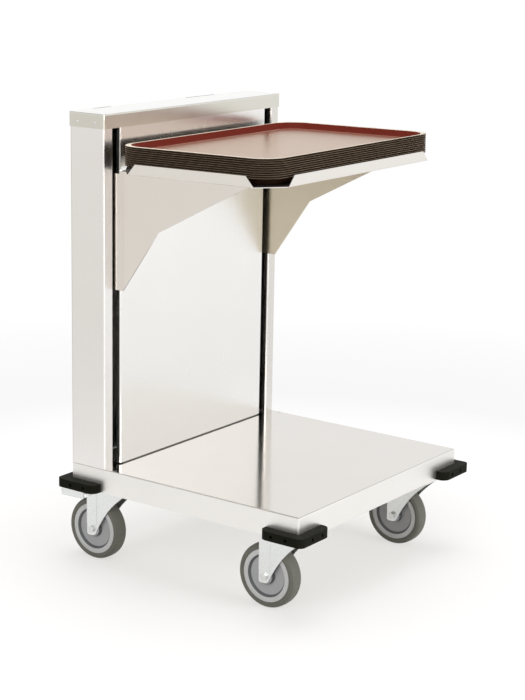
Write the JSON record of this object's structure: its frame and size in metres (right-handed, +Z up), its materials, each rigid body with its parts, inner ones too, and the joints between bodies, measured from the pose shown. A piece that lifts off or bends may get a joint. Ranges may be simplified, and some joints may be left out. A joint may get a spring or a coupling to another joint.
{
  "type": "tray dispenser cart",
  "caption": "Self-levelling tray dispenser cart: a spring-balanced tray platform on arms that run in a steel column over a wheeled base.",
  "frame": {"origin": "centre of the cart's outline on the floor", "axes": "+Z up; +Y towards the column at the rear; +X to the right seen from the front, where the trays are taken"},
  "size_m": [0.606, 0.63, 0.898],
  "materials": {
    "stainless": "satin stainless sheet with a fine grain",
    "polished_steel": "bright stainless sheet that mirrors the deck",
    "bumper": "black moulded polymer, slightly satin",
    "tyre": "dark olive grey rubber",
    "wheel": "light grey moulded wheel centre",
    "zinc": "bright zinc plating",
    "tray": "glossy red-brown laminate",
    "tray_edge": "dark brown laminate edges",
    "rubber": "black rubber",
    "roller": "natural nylon",
    "spring_wire": "oiled spring wire",
    "hardware": "zinc plated fasteners"
  },
  "bodies": {
    "cart": {"base_pan": "stainless", "caster_channel_front": "stainless", "caster_channel_rear": "stainless", "side_panel_left": "stainless", "side_panel_right": "stainless", "front_panel": "polished_steel", "header": "stainless", "foot_cleat": "stainless", "rear_cover": "stainless", "cover_screws": "hardware", "cap": "stainless", "cap_rivets": "hardware", "guide_rail_left": "stainless", "guide_rail_right": "stainless", "spring_hanger": "stainless", "stops_upper": "rubber", "stops_lower": "rubber", "bumper_front_left": "bumper", "bumper_front_right": "bumper", "bumper_rear_left": "bumper", "bumper_rear_right": "bumper", "bumper_screws": "hardware", "caster_plates": "zinc", "caster_bolts": "hardware"},
    "carriage": {"arm_left": "stainless", "arm_right": "stainless", "arm_brace": "stainless", "pull_bar": "stainless", "springs": "spring_wire", "roller_pins": "hardware", "platform": "stainless", "platform_studs": "hardware"},
    "tray_stack": {"tray_stack": "tray_edge", "upper_trays": "tray_edge"},
    "top_tray": {"top_tray": "tray"},
    "roller_upper_left": {"roller_upper_left": "roller"},
    "roller_upper_right": {"roller_upper_right": "roller"},
    "roller_lower_left": {"roller_lower_left": "roller"},
    "roller_lower_right": {"roller_lower_right": "roller"},
    "caster_front_left": {"fork_front_left": "zinc", "axle_front_left": "hardware"},
    "wheel_front_left": {"wheel_front_left": "wheel", "tyre_front_left": "tyre"},
    "caster_front_right": {"fork_front_right": "zinc", "axle_front_right": "hardware"},
    "wheel_front_right": {"wheel_front_right": "wheel", "tyre_front_right": "tyre"},
    "caster_rear_left": {"fork_rear_left": "zinc", "axle_rear_left": "hardware", "brake_pin_left": "hardware"},
    "wheel_rear_left": {"wheel_rear_left": "wheel", "tyre_rear_left": "tyre"},
    "caster_rear_right": {"fork_rear_right": "zinc", "axle_rear_right": "hardware", "brake_pin_right": "hardware"},
    "wheel_rear_right": {"wheel_rear_right": "wheel", "tyre_rear_right": "tyre"},
    "brake_pedal_left": {"brake_pedal_left": "zinc"},
    "brake_pedal_right": {"brake_pedal_right": "zinc"}
  },
  "joints": [
    {"name": "carriage_slide", "type": "slide", "parent": "cart", "child": "carriage", "axis": [0, 0, 1], "range_m": [-0.34, 0.06], "stiffness_N_per_m": 1418, "springref_m": 0.0963, "deforming": ["springs"]},
    {"name": "roller_upper_left_spin", "type": "hinge", "parent": "carriage", "child": "roller_upper_left", "pos_m": [-0.2655, 0.2085, 0.765], "axis": [1, 0, 0], "range_deg": [-1170, 210]},
    {"name": "roller_lower_left_spin", "type": "hinge", "parent": "carriage", "child": "roller_lower_left", "pos_m": [-0.2655, 0.2085, 0.5815], "axis": [1, 0, 0], "range_deg": [-210, 1170]},
    {"name": "roller_upper_right_spin", "type": "hinge", "parent": "carriage", "child": "roller_upper_right", "pos_m": [0.2655, 0.2085, 0.765], "axis": [1, 0, 0], "range_deg": [-1170, 210]},
    {"name": "roller_lower_right_spin", "type": "hinge", "parent": "carriage", "child": "roller_lower_right", "pos_m": [0.2655, 0.2085, 0.5815], "axis": [1, 0, 0], "range_deg": [-210, 1170]},
    {"name": "tray_stack_lift", "type": "slide", "parent": "carriage", "child": "tray_stack", "axis": [0, 0, 1], "range_m": [0, 0.2]},
    {"name": "top_tray_lift", "type": "slide", "parent": "tray_stack", "child": "top_tray", "axis": [0, 0, 1], "range_m": [0, 0.15]},
    {"name": "caster_front_left_swivel", "type": "hinge", "parent": "cart", "child": "caster_front_left", "pos_m": [-0.226, -0.23, 0.148], "axis": [0, 0, 1], "continuous": true},
    {"name": "wheel_front_left_spin", "type": "hinge", "parent": "caster_front_left", "child": "wheel_front_left", "pos_m": [-0.226, -0.194, 0.0635], "axis": [1, 0, 0], "continuous": true},
    {"name": "caster_front_right_swivel", "type": "hinge", "parent": "cart", "child": "caster_front_right", "pos_m": [0.226, -0.23, 0.148], "axis": [0, 0, 1], "continuous": true},
    {"name": "wheel_front_right_spin", "type": "hinge", "parent": "caster_front_right", "child": "wheel_front_right", "pos_m": [0.226, -0.194, 0.0635], "axis": [1, 0, 0], "continuous": true},
    {"name": "caster_rear_left_swivel", "type": "hinge", "parent": "cart", "child": "caster_rear_left", "pos_m": [-0.226, 0.194, 0.148], "axis": [0, 0, 1], "continuous": true},
    {"name": "wheel_rear_left_spin", "type": "hinge", "parent": "caster_rear_left", "child": "wheel_rear_left", "pos_m": [-0.226, 0.23, 0.0635], "axis": [1, 0, 0], "continuous": true},
    {"name": "caster_rear_right_swivel", "type": "hinge", "parent": "cart", "child": "caster_rear_right", "pos_m": [0.226, 0.194, 0.148], "axis": [0, 0, 1], "continuous": true},
    {"name": "wheel_rear_right_spin", "type": "hinge", "parent": "caster_rear_right", "child": "wheel_rear_right", "pos_m": [0.226, 0.23, 0.0635], "axis": [1, 0, 0], "continuous": true},
    {"name": "brake_pedal_left_press", "type": "hinge", "parent": "caster_rear_left", "child": "brake_pedal_left", "pos_m": [-0.226, 0.235, 0.136], "axis": [-1, 0, 0], "range_deg": [0, 18]},
    {"name": "brake_pedal_right_press", "type": "hinge", "parent": "caster_rear_right", "child": "brake_pedal_right", "pos_m": [0.226, 0.235, 0.136], "axis": [-1, 0, 0], "range_deg": [0, 18]}
  ],
  "couplings": [
    {"joint": "roller_upper_left_spin", "follows": "carriage_slide", "rad_per_m": 59.88},
    {"joint": "roller_lower_left_spin", "follows": "carriage_slide", "rad_per_m": -59.88},
    {"joint": "roller_upper_right_spin", "follows": "carriage_slide", "rad_per_m": 59.88},
    {"joint": "roller_lower_right_spin", "follows": "carriage_slide", "rad_per_m": -59.88}
  ]
}
